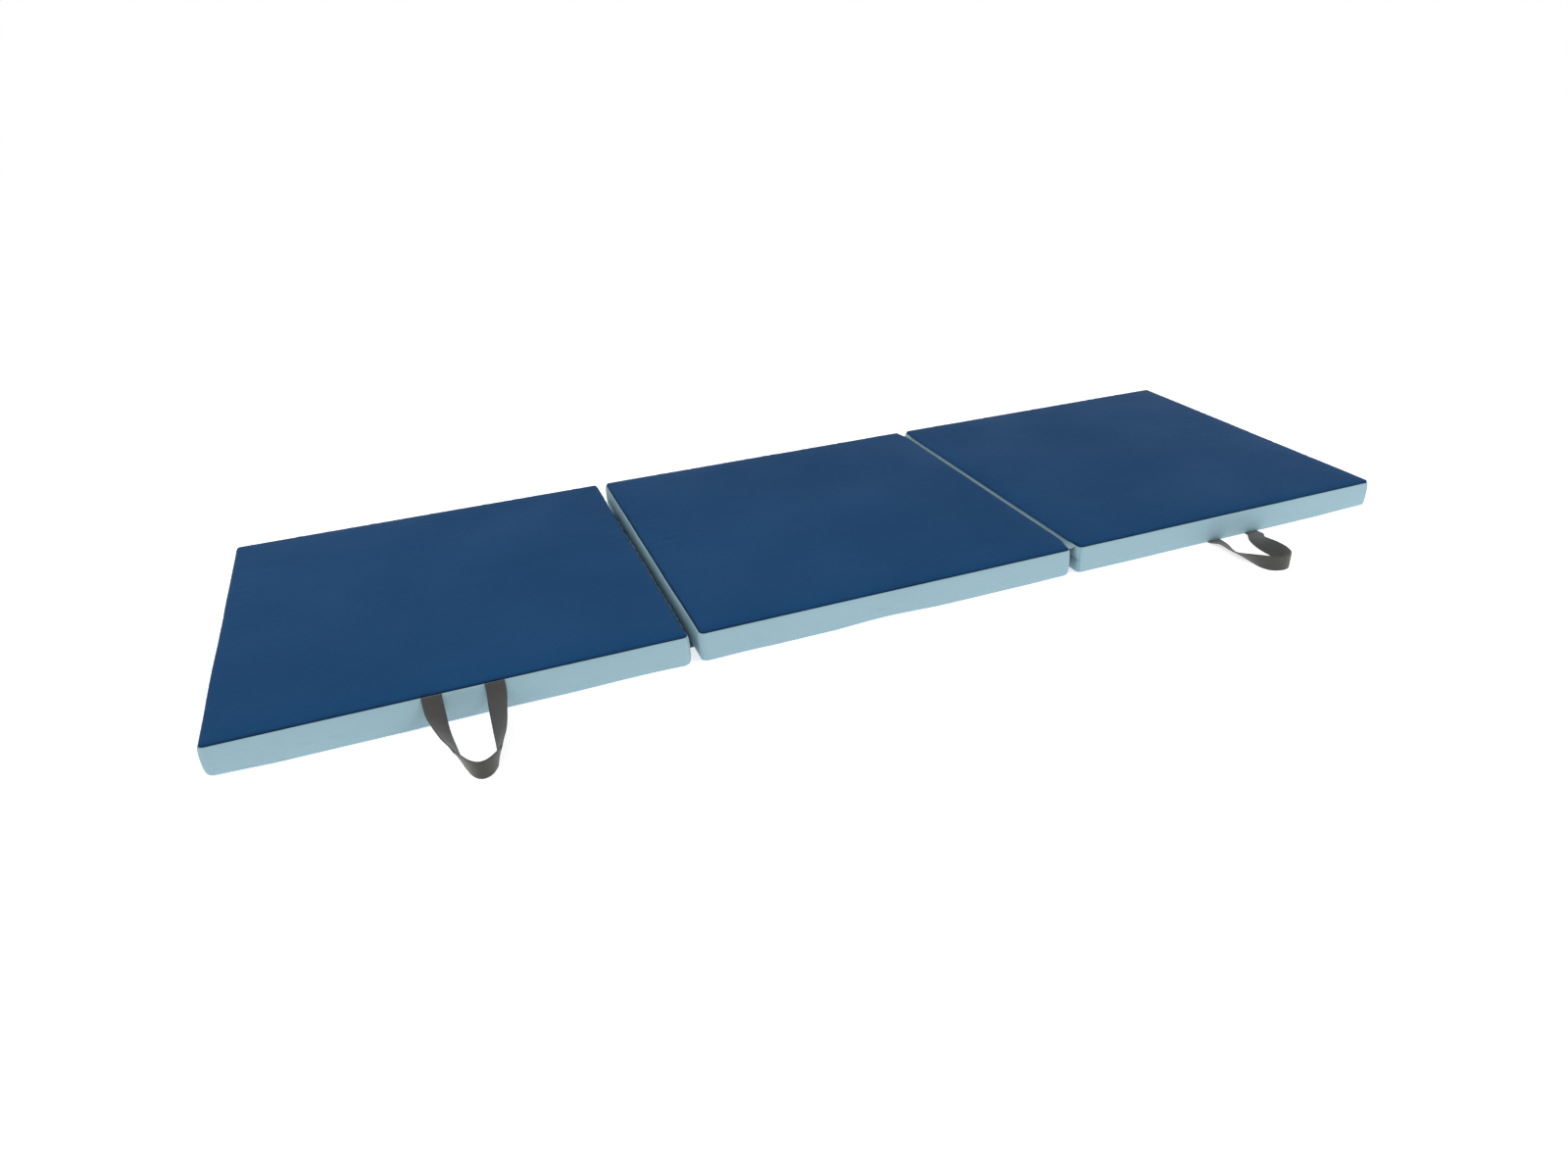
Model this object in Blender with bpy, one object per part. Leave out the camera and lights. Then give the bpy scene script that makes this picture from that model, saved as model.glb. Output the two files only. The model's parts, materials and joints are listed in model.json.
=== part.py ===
"""Tri-fold gym mat: three foam panels in boxed covers, joined by two hinge strips that fold it in a Z.

Metres, +Z up. The origin is the centre of the middle panel's underside. X runs along the unfolded mat
and the carry handles are on the -Y side. Panels are numbered 1 to 3 from -X to +X.
"""

import math

import bmesh
import bpy
import numpy as np
from mathutils import Vector

# Overall sizes of one panel
PANEL_LENGTH = 0.590
PANEL_WIDTH = 0.600
SEAM_HEIGHT = 0.044
CROWN = 0.005
CROWN_REACH = 0.085
CROWN_FULLNESS = 2.5
CORNER_RADIUS = 0.010
PANEL_COUNT = 3
MIDDLE_PANEL = 2

# Cover
COVER = 0.0012
CLEARANCE = 0.0003

# Space between two panels, and the strips that bridge it
PANEL_GAP = 0.015
HINGE_STRIP = 0.0008
BOTTOM_STRIP_INSET = 0.045
TOP_STRIP_INSET = 0.012
STRIP_ABOVE_FLOOR = 0.0004
FOLD_CLEARANCE = 0.0004

# Zip in one end face of each cover
ZIP_SLIT = 0.0054
ZIP_INSET = 0.012
TAPE_THICKNESS = 0.0010
TAPE_HEIGHT = 0.024
COIL_WIDTH = 0.0028
COIL_DEPTH = 0.0020
SLIDER_LENGTH = 0.010
SLIDER_HEIGHT = 0.009
SLIDER_PLATE = 0.0016
SLIDER_LUG = 0.0014
SLIDER_LUG_HEIGHT = 0.003
SLIDER_CHAMFER = 0.0005
ZIP_SIDES = {1: 1, 2: 1, 3: -1}

# Webbing handles: each is one strap whose two ends are sewn into a seam of the near side
STRAP_WIDTH = 0.025
STRAP_THICKNESS = 0.0020
STRAP_CORNER = 0.0004
HANDLE_SPREAD = 0.0765
TOP_HANDLE_SHIFT = 0.003
BOTTOM_HANDLE_SHIFT = 0.008
HANDLE_STEPS = 64
CURVE_STEPS = 12
LIFT_PASSES = 3

# The straps' routes: offset along X from the handle's middle, distance out from the side face, height of
# the strap's centreline as a share of its hinge's height, and the turn of its width from +X towards +Z in
# degrees. A stretch with height 0 lies on the floor, and is lifted until its lower edge clears it.
TOP_HANDLE_ROUTE = [
    (-HANDLE_SPREAD / 2, 0.000, 1.00, 180),
    (-HANDLE_SPREAD / 2, 0.004, 0.77, 178),
    (-0.0370, 0.018, 0.55, 158),
    (-0.0335, 0.042, 0.41, 140),
    (-0.0280, 0.068, 0.34, 130),
    (-0.0220, 0.092, 0.30, 112),
    (-0.0155, 0.112, 0.00, 101),
    (-0.0080, 0.128, 0.00, 93),
    (0.0010, 0.1355, 0.00, 90),
    (0.0105, 0.133, 0.00, 89),
    (0.0190, 0.124, 0.00, 83),
    (0.0260, 0.107, 0.30, 71),
    (0.0305, 0.082, 0.34, 53),
    (0.0335, 0.052, 0.41, 36),
    (0.0360, 0.022, 0.55, 20),
    (HANDLE_SPREAD / 2, 0.004, 0.77, 2),
    (HANDLE_SPREAD / 2, 0.000, 1.00, 0),
]
BOTTOM_HANDLE_ROUTE = [
    (-HANDLE_SPREAD / 2, 0.000, 0.00, 180),
    (-HANDLE_SPREAD / 2, 0.006, 0.00, 178),
    (-0.0410, 0.020, 0.00, 162),
    (-0.0455, 0.038, 0.00, 150),
    (-0.0480, 0.060, 0.00, 149),
    (-0.0480, 0.082, 0.00, 134),
    (-0.0430, 0.104, 0.00, 108),
    (-0.0310, 0.120, 0.00, 92),
    (-0.0130, 0.1255, 0.00, 90),
    (0.0010, 0.120, 0.00, 90),
    (0.0070, 0.104, 0.00, 80),
    (0.0085, 0.084, 0.00, 64),
    (0.0130, 0.056, 0.00, 38),
    (0.0230, 0.028, 0.00, 12),
    (HANDLE_SPREAD / 2, 0.006, 0.00, 0),
    (HANDLE_SPREAD / 2, 0.000, 0.00, 0),
]

# Corner and crown resolution, and the largest turn between faces that is shaded smooth
CORNER_STEPS = 6
CROWN_INSETS = (0.0, 0.006, 0.014, 0.026, 0.042, 0.062)
SMOOTH_BELOW = math.radians(35)

NAVY = (0.018, 0.060, 0.150)
LIGHT_BLUE = (0.330, 0.520, 0.590)
WEBBING = (0.070, 0.070, 0.068)
FOAM = (0.620, 0.630, 0.640)
COIL = (0.300, 0.480, 0.560)
METAL = (0.550, 0.560, 0.570)

near_face = -PANEL_WIDTH / 2
pitch = PANEL_LENGTH + PANEL_GAP
zip_middle = SEAM_HEIGHT / 2
zip_half_length = PANEL_WIDTH / 2 - CORNER_RADIUS - ZIP_INSET
top_of_crown = SEAM_HEIGHT + COVER + CROWN
fold_x = pitch / 2
strap_hinge_y = near_face - CLEARANCE - STRAP_THICKNESS / 2
top_hinge_z = SEAM_HEIGHT - CLEARANCE - STRAP_THICKNESS / 2
bottom_hinge_z = STRAP_THICKNESS / 2


def clear_scene():
    for obj in list(bpy.data.objects):
        bpy.data.objects.remove(obj, do_unlink=True)


def material(name, colour, roughness, metallic=0.0):
    made = bpy.data.materials.new(name)
    made.use_nodes = True
    shader = made.node_tree.nodes["Principled BSDF"]
    shader.inputs["Base Color"].default_value = (*colour, 1.0)
    shader.inputs["Roughness"].default_value = roughness
    shader.inputs["Metallic"].default_value = metallic
    made.diffuse_color = (*colour, 1.0)
    return made


def add_object(name, points, faces, look, origin=(0, 0, 0), smooth=False):
    """A named object from world-space points, with its own origin."""
    origin = Vector(origin)
    mesh = bpy.data.meshes.new(name)
    mesh.from_pydata([Vector(p) - origin for p in points], [], faces)
    solid = bmesh.new()
    solid.from_mesh(mesh)
    bmesh.ops.recalc_face_normals(solid, faces=solid.faces)
    solid.to_mesh(mesh)
    solid.free()
    if smooth:
        mesh.shade_smooth()
        mesh.set_sharp_from_angle(angle=SMOOTH_BELOW)
    mesh.materials.append(look)
    obj = bpy.data.objects.new(name, mesh)
    obj.location = origin
    bpy.context.scene.collection.objects.link(obj)
    return obj


def outline(inset, length=PANEL_LENGTH, width=PANEL_WIDTH):
    """Rounded rectangle about (0, 0), anticlockwise from the +X side's near end, moved in by inset."""
    radius = max(CORNER_RADIUS - inset, CORNER_RADIUS / 4)
    corner_x = length / 2 - inset - radius
    corner_y = width / 2 - inset - radius
    points = []
    for quarter, (side_x, side_y) in enumerate(((1, 1), (-1, 1), (-1, -1), (1, -1))):
        for step in range(CORNER_STEPS + 1):
            angle = (quarter + step / CORNER_STEPS) * math.pi / 2
            x = side_x * corner_x + radius * math.cos(angle)
            y = side_y * corner_y + radius * math.sin(angle)
            points.append((x, y))
    return points


def crown_height(inset):
    """Rise of the top surface above its seam, at a distance in from the seam."""
    share = min(inset / CROWN_REACH, 1.0)
    return CROWN * (1 - (1 - share) ** CROWN_FULLNESS)


def stack_rings(rings):
    """Points and faces of the closed body that passes through these equal rings, capped at both ends."""
    count = len(rings[0])
    points = [point for ring in rings for point in ring]
    faces = [tuple(reversed(range(count)))]
    for level in range(len(rings) - 1):
        low, high = level * count, (level + 1) * count
        for i in range(count):
            j = (i + 1) % count
            faces.append((low + i, low + j, high + j, high + i))
    last = (len(rings) - 1) * count
    faces.append(tuple(range(last, last + count)))
    return points, faces


def place_ring(flat, x_middle, z):
    return [(x + x_middle, y, z) for x, y in flat]


def top_cover(panel, x_middle, look):
    """A sheet of even thickness that follows the crown, with its rim on the seam."""
    under = [
        place_ring(outline(inset), x_middle, SEAM_HEIGHT + crown_height(inset))
        for inset in reversed(CROWN_INSETS)
    ]
    over = [
        place_ring(outline(inset), x_middle, SEAM_HEIGHT + COVER + crown_height(inset))
        for inset in CROWN_INSETS
    ]
    over.append(place_ring(outline(CROWN_REACH), x_middle, top_of_crown))
    under.insert(0, place_ring(outline(CROWN_REACH), x_middle, top_of_crown - COVER))
    points, faces = stack_rings(under + over)
    return add_object(f"top_cover_{panel}", points, faces, look, smooth=True)


def bottom_cover(panel, x_middle, look):
    rings = [place_ring(outline(0), x_middle, z) for z in (0.0, COVER)]
    points, faces = stack_rings(rings)
    return add_object(f"bottom_cover_{panel}", points, faces, look)


def foam_core(panel, x_middle, zip_side, look):
    """The slab that fills the cover, cut back at the zip so that the tape has room."""
    skin = COVER + CLEARANCE
    cut_back = TAPE_THICKNESS + CLEARANCE
    length = PANEL_LENGTH - cut_back
    middle = x_middle - zip_side * cut_back / 2
    rings = [place_ring(outline(skin, length), middle, skin)]
    for inset in CROWN_INSETS + (CROWN_REACH,):
        z = SEAM_HEIGHT - CLEARANCE + crown_height(inset)
        rings.append(place_ring(outline(max(inset, skin), length), middle, z))
    points, faces = stack_rings(rings)
    return add_object(f"foam_core_{panel}", points, faces, look, smooth=True)


def wall(name, outer, inner, low, high, look):
    """A sheet standing on edge between two open outlines."""
    count = len(outer)
    points = [(x, y, z) for line in (outer, inner) for z in (low, high) for x, y in line]
    outer_low, outer_high, inner_low, inner_high = (k * count for k in range(4))
    faces = []
    for i in range(count - 1):
        faces.append((outer_low + i, outer_low + i + 1, outer_high + i + 1, outer_high + i))
        faces.append((inner_low + i + 1, inner_low + i, inner_high + i, inner_high + i + 1))
        faces.append((outer_high + i, outer_high + i + 1, inner_high + i + 1, inner_high + i))
        faces.append((outer_low + i + 1, outer_low + i, inner_low + i, inner_low + i + 1))
    last = count - 1
    faces.append((outer_low, outer_high, inner_high, inner_low))
    faces.append((outer_low + last, inner_low + last, inner_high + last, outer_high + last))
    return add_object(name, points, faces, look, smooth=True)


def split_outline(x_middle, zip_side, inset):
    """An outline's stretches for the side band and for the zip bands, split in the middle of two corners."""
    ring = outline(inset)
    half_corner = CORNER_STEPS // 2
    per_corner = CORNER_STEPS + 1
    if zip_side > 0:
        first, last = half_corner, 3 * per_corner + half_corner
    else:
        first, last = 2 * per_corner + half_corner, per_corner + half_corner
    count = len(ring)
    band = [ring[i % count] for i in range(first, (last if last > first else last + count) + 1)]
    closing = [ring[i % count] for i in range(last, (first if first > last else first + count) + 1)]
    return [[(x + x_middle, y) for x, y in line] for line in (band, closing)]


def pull_in(line, distance):
    """Shortens an open outline by a distance at each end."""
    line = [Vector(p) for p in line]
    line[0] = line[0] + (line[1] - line[0]).normalized() * distance
    line[-1] = line[-1] + (line[-2] - line[-1]).normalized() * distance
    return [tuple(p) for p in line]


def side_walls(panel, x_middle, zip_side, look):
    """The boxing strip on three sides, and the two bands beside the zip on the fourth."""
    band_outer, closing_outer = split_outline(x_middle, zip_side, 0)
    band_inner, closing_inner = split_outline(x_middle, zip_side, COVER)
    closing_outer = pull_in(closing_outer, CLEARANCE)
    closing_inner = pull_in(closing_inner, CLEARANCE)
    low, high = COVER + CLEARANCE, SEAM_HEIGHT - CLEARANCE
    slit_low, slit_high = zip_middle - ZIP_SLIT / 2, zip_middle + ZIP_SLIT / 2
    return [
        wall(f"side_band_{panel}", band_outer, band_inner, low, high, look),
        wall(f"zip_band_lower_{panel}", closing_outer, closing_inner, low, slit_low, look),
        wall(f"zip_band_upper_{panel}", closing_outer, closing_inner, slit_high, high, look),
    ]


def extrude_along_y(name, profile, y_low, y_high, look, origin=(0, 0, 0)):
    """A closed body from an XZ profile."""
    rings = [[(x, y, z) for x, z in profile] for y in (y_low, y_high)]
    points, faces = stack_rings(rings)
    return add_object(name, points, faces, look, origin)


def zip_tape(panel, face_x, zip_side, look):
    """The zip's tape behind the two bands, with the closed coil standing in the slit."""
    back = COVER + CLEARANCE + TAPE_THICKNESS
    front = COVER + CLEARANCE
    half_tape, half_coil = TAPE_HEIGHT / 2, COIL_WIDTH / 2
    depths = [
        (back, -half_tape),
        (front, -half_tape),
        (front, -half_coil),
        (front - COIL_DEPTH, -half_coil),
        (front - COIL_DEPTH, half_coil),
        (front, half_coil),
        (front, half_tape),
        (back, half_tape),
    ]
    profile = [(face_x - zip_side * depth, zip_middle + z) for depth, z in depths]
    return extrude_along_y(f"zip_tape_{panel}", profile, -zip_half_length, zip_half_length, look)


def zip_slider(panel, face_x, zip_side, look):
    """The slider at the zip's closed, far end: a plate on the coil, two lips beside it and a lug on top."""
    coil_top = COIL_DEPTH - COVER - CLEARANCE
    plate_low = coil_top + CLEARANCE
    plate_high = plate_low + SLIDER_PLATE
    lip_low = plate_low - COIL_DEPTH + 2 * CLEARANCE
    half_plate = SLIDER_HEIGHT / 2
    lip_inner = COIL_WIDTH / 2 + CLEARANCE
    lip_outer = ZIP_SLIT / 2 - CLEARANCE
    chamfer = SLIDER_CHAMFER
    half_lug = SLIDER_LUG_HEIGHT / 2
    heights = [
        (lip_low, -lip_outer),
        (lip_low, -lip_inner),
        (plate_low, -lip_inner),
        (plate_low, lip_inner),
        (lip_low, lip_inner),
        (lip_low, lip_outer),
        (plate_low, lip_outer),
        (plate_low, half_plate),
        (plate_high - chamfer, half_plate),
        (plate_high, half_plate - chamfer),
        (plate_high, half_lug),
        (plate_high + SLIDER_LUG, half_lug - chamfer),
        (plate_high + SLIDER_LUG, -half_lug + chamfer),
        (plate_high, -half_lug),
        (plate_high, -half_plate + chamfer),
        (plate_high - chamfer, -half_plate),
        (plate_low, -half_plate),
        (plate_low, -lip_outer),
    ]
    y_high = zip_half_length - CLEARANCE
    y_low = y_high - SLIDER_LENGTH
    profile = [(face_x + zip_side * height, zip_middle + z) for height, z in heights]
    origin = (face_x, (y_low + y_high) / 2, zip_middle)
    return extrude_along_y(f"zip_slider_{panel}", profile, y_low, y_high, look, origin)


def hinge_strip(name, x_middle, z_low, end_inset, look):
    """The strip of cover fabric that bridges the space between two panels."""
    half_width = PANEL_GAP / 2 - CLEARANCE
    z_high = z_low + HINGE_STRIP
    profile = [
        (x_middle - half_width, z_low),
        (x_middle + half_width, z_low),
        (x_middle + half_width, z_high),
        (x_middle - half_width, z_high),
    ]
    half_length = PANEL_WIDTH / 2 - end_inset
    return extrude_along_y(name, profile, -half_length, half_length, look)


def smooth_route(route, steps):
    """Points evenly spread along a centripetal Catmull-Rom curve through the route's points."""
    route = np.array(route, float)
    guide = np.vstack([2 * route[0] - route[1], route, 2 * route[-1] - route[-2]])
    made = []
    for a, b, c, d in zip(guide[:-3], guide[1:-2], guide[2:-1], guide[3:]):
        spans = [max(np.linalg.norm((q - p)[:3]) ** 0.5, 1e-6) for p, q in ((a, b), (b, c), (c, d))]
        t1 = spans[0]
        t2 = t1 + spans[1]
        t3 = t2 + spans[2]
        for t in np.linspace(t1, t2, CURVE_STEPS, endpoint=False):
            ab = a + (b - a) * t / t1
            bc = b + (c - b) * (t - t1) / (t2 - t1)
            cd = c + (d - c) * (t - t2) / (t3 - t2)
            abc = ab + (bc - ab) * t / t2
            bcd = bc + (cd - bc) * (t - t1) / (t3 - t1)
            made.append(abc + (bcd - abc) * (t - t1) / (t2 - t1))
    made.append(route[-1])
    made = np.array(made)
    travelled = np.concatenate([[0], np.cumsum(np.linalg.norm(np.diff(made[:, :3], axis=0), axis=1))])
    wanted = np.linspace(0, travelled[-1], steps + 1)
    return np.stack([np.interp(wanted, travelled, made[:, k]) for k in range(4)], axis=1)


def strap_section():
    """Corners of the strap's section, as shares of width and thickness directions, in metres."""
    half_width, half_thickness = STRAP_WIDTH / 2, STRAP_THICKNESS / 2
    corners = []
    for side_w, side_t in ((1, 1), (-1, 1), (-1, -1), (1, -1)):
        near_edge = (side_w * half_width, side_t * (half_thickness - STRAP_CORNER))
        near_face_corner = (side_w * (half_width - STRAP_CORNER), side_t * half_thickness)
        pair = [near_edge, near_face_corner]
        corners += pair if side_w * side_t > 0 else pair[::-1]
    return corners


def handle(name, x_middle, route, hinge_z, look):
    """A webbing strap swept along its route, standing on its edge round the loop's outer end."""
    route_in_metres = np.array(route, float) * (1, 1, hinge_z, 1)
    samples = smooth_route(route_in_metres, HANDLE_STEPS)
    centres = np.array([x_middle, strap_hinge_y, 0]) + samples[:, :3] * (1, -1, 1)
    turns = np.radians(samples[:, 3])
    half_width, half_thickness = STRAP_WIDTH / 2, STRAP_THICKNESS / 2
    section = strap_section()
    for _ in range(LIFT_PASSES):
        tangents = np.gradient(centres, axis=0)
        tangents[0, 0] = tangents[-1, 0] = 0
        tangents /= np.linalg.norm(tangents, axis=1, keepdims=True)
        widths = np.stack([np.cos(turns), np.zeros_like(turns), np.sin(turns)], axis=1)
        widths -= tangents * (widths * tangents).sum(axis=1, keepdims=True)
        widths /= np.linalg.norm(widths, axis=1, keepdims=True)
        normals = np.cross(tangents, widths)
        reach_down = half_width * np.abs(widths[:, 2]) + half_thickness * np.abs(normals[:, 2])
        centres[:, 2] = np.maximum(centres[:, 2], reach_down)
    rings = [
        [tuple(centre + width * w + normal * t) for w, t in section]
        for centre, width, normal in zip(centres, widths, normals)
    ]
    points, faces = stack_rings(rings)
    origin = (x_middle, strap_hinge_y, hinge_z)
    return add_object(name, points, faces, look, origin, smooth=True)


def build_panel(panel, looks):
    x_middle = (panel - MIDDLE_PANEL) * pitch
    zip_side = ZIP_SIDES[panel]
    face_x = x_middle + zip_side * PANEL_LENGTH / 2
    return [
        foam_core(panel, x_middle, zip_side, looks["foam"]),
        top_cover(panel, x_middle, looks["navy"]),
        bottom_cover(panel, x_middle, looks["light_blue"]),
        *side_walls(panel, x_middle, zip_side, looks["light_blue"]),
        zip_tape(panel, face_x, zip_side, looks["coil"]),
        zip_slider(panel, face_x, zip_side, looks["metal"]),
    ]


def fold_pivot(name, location, pieces):
    """An empty on a fold's axis, which carries all that folds about it."""
    pivot = bpy.data.objects.new(name, None)
    pivot.location = location
    bpy.context.scene.collection.objects.link(pivot)
    for piece in pieces:
        piece.parent = pivot
        piece.location = piece.location - pivot.location
    return pivot


def main():
    clear_scene()
    looks = {
        "navy": material("navy_coated_fabric", NAVY, 0.45),
        "light_blue": material("light_blue_coated_fabric", LIGHT_BLUE, 0.5),
        "foam": material("closed_cell_foam", FOAM, 0.9),
        "coil": material("zip_coil", COIL, 0.5),
        "metal": material("slider_metal", METAL, 0.3, 1.0),
        "webbing": material("grey_webbing", WEBBING, 0.85),
    }
    panels = {panel: build_panel(panel, looks) for panel in range(1, PANEL_COUNT + 1)}
    top_strip_z = SEAM_HEIGHT - HINGE_STRIP
    cloth = looks["light_blue"]
    strips = [
        hinge_strip("hinge_strip_bottom", -fold_x, STRIP_ABOVE_FLOOR, BOTTOM_STRIP_INSET, cloth),
        hinge_strip("hinge_strip_top", fold_x, top_strip_z, TOP_STRIP_INSET, cloth),
    ]
    top_x, bottom_x = -pitch + TOP_HANDLE_SHIFT, pitch + BOTTOM_HANDLE_SHIFT
    panels[1].append(handle("handle_1", top_x, TOP_HANDLE_ROUTE, top_hinge_z, looks["webbing"]))
    handle("handle_3", bottom_x, BOTTOM_HANDLE_ROUTE, bottom_hinge_z, looks["webbing"])
    first_fold = fold_pivot("fold_1_axis", (-fold_x, 0, -FOLD_CLEARANCE), panels[1])
    carried = [*panels[2], *strips, first_fold]
    fold_pivot("fold_2_axis", (fold_x, 0, top_of_crown + FOLD_CLEARANCE), carried)


main()
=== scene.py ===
"""The looks of the folding gym mat: sewn covers, zips, hinge strips and webbing handles.

Metres, +Z up, in the frame's own axes: X along the unfolded mat, carry handles on the -Y side.
"""

import json
import math

import bmesh
import bpy
import numpy as np
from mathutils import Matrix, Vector, noise


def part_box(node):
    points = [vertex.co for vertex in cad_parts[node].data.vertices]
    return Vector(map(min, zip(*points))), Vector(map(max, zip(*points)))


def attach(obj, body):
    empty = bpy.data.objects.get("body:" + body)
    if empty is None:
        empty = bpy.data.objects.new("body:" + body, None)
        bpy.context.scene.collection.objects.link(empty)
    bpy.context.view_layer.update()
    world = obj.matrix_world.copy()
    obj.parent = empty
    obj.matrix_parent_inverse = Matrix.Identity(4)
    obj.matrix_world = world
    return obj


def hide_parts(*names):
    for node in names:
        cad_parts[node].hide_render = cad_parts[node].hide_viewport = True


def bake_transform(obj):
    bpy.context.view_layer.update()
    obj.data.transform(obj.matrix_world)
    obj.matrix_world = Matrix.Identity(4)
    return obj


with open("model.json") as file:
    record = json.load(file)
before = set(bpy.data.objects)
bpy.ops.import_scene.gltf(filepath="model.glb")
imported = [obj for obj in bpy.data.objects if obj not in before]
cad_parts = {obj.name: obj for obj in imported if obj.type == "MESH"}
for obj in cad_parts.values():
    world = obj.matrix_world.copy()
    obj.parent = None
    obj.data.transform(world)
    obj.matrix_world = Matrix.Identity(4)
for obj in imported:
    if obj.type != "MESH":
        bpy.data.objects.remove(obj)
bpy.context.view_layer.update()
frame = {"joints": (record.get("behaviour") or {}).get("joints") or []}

PANELS = (1, 2, 3)
# which end face of each cover holds its zip, along X
ZIP_SIDES = {1: 1, 2: 1, 3: -1}

# ---- cover: sizes beside those read from the frame
SHEET = 0.0009
STRIP_SHEET = 0.0006
STRIP_TUCK = 0.0015
TOP_STRIP_SAG = 0.0030
CORNER_RADIUS = 0.008
EDGE_STOPS = (0.0, 0.0016, 0.0038, 0.0068, 0.011, 0.0165, 0.0235)
CELL = 0.0088
# distance in from the seam and rise above it, down the rolled edge of the top sheet
ROLL = (
    (0.0, 0.0), (0.0005, 0.0017), (0.0022, 0.0030), (0.0060, 0.0039),
    (0.0150, 0.0047), (0.0400, 0.0056), (0.0850, 0.0060),
)
# share of the side's height from the top seam down, and how far the side stands out there
SIDE_PROFILE = (
    (0.0, -0.0011), (0.035, -0.0001), (0.09, 0.0004), (0.20, 0.0009), (0.32, 0.0012), (0.44, 0.0013),
    (0.56, 0.0013), (0.68, 0.0012), (0.80, 0.0009), (0.90, 0.0002), (0.96, -0.0008), (1.0, -0.0022),
)
# how high a top may rise, how far an end face may stand out, and how far its bands dip beside the zip
TOP_KNEE = 0.0486
TOP_LIMIT = 0.0503
SIDE_LIMIT = 0.0014
# how far the base's edges lift off the floor in waves, and how far an outline wanders along its side
BASE_WAVE = 0.0050
OUTLINE_DRIFT = 0.0011
ZIP_DIP = 0.0012
# which edge of a panel leans over the top strip, along X, and how far its roll is pushed out
OVERHANG_SIDES = {2: 1, 3: -1}
OVERHANG = 0.0058
BASE_SEAM_HEIGHT = 0.0007
FLOOR_CLEARANCE = 0.0002

# ---- cloth
CLOTH_FRAMES = 14
CLOTH_PRESSURE = 1.5
CLOTH_QUALITY = 5
CLOTH_MASS = 0.35
CLOTH_TENSION = 22
CLOTH_SHEAR = 8
CLOTH_BENDING = 1.2
HOLD_STIFFNESS = 6.0
# how firmly the foam behind the cover, and the stiff sewn seams, keep it where it was cut to lie
FOAM_HOLD = 0.25
SEAM_HOLD = 0.90
# how much longer the fabric is than the foam it covers, as a share
SLACK = 0.003
CAP = 0.0030

# ---- zip
SLIT = 0.0040
TOOTH_PITCH = 0.0018
TOOTH_RADIUS = 0.00065
COIL_STANDS_OUT = 0.0004
STITCH_LENGTH = 0.0026
STITCH_STEP = 0.0038
STITCH_RADIUS = 0.00022

# ---- webbing
STRAP_WIDTH = 0.025
STRAP_THICKNESS = 0.0020
STRAP_STEPS = 150
SECTION_STEPS = 16
RIB_PITCH = 0.0016
WARP_PITCH = 0.0021
# how far from its ends a strap starts to bend into its seam
TUCK_REACH = 0.007

# ---- light
HORIZON_LIGHT = 1.0
ZENITH_LIGHT = 0.46
FLOOR_GLOW = 0.62
KEY_POWER = 46.0
FILL_POWER = 58.0

# ---- the camera's view
LENS = 24.053
SENSOR = 36.0
SHIFT_X = -0.025
CAMERA_AT = (-0.58793, -1.49541, 0.74740)
CAMERA_TURN = (1.08780481, 0.03204824, -0.39386413)

# ---- colours, linear
NAVY = (0.0108, 0.0575, 0.152)
# the dark fabric colours are the far end of the random colour drifts and also of the painted shade down in
# the seams
NAVY_DARK = (0.0050, 0.0200, 0.052)
LIGHT_BLUE = (0.272, 0.408, 0.465)
LIGHT_BLUE_DARK = (0.200, 0.320, 0.385)
WEB_LIGHT = (0.068, 0.068, 0.063)
WEB_DARK = (0.040, 0.040, 0.040)
FOAM = (0.60, 0.61, 0.62)
COIL = (0.30, 0.47, 0.54)
THREAD = (0.40, 0.58, 0.64)
METAL = (0.55, 0.56, 0.57)


# ---------------------------------------------------------------- materials


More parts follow.
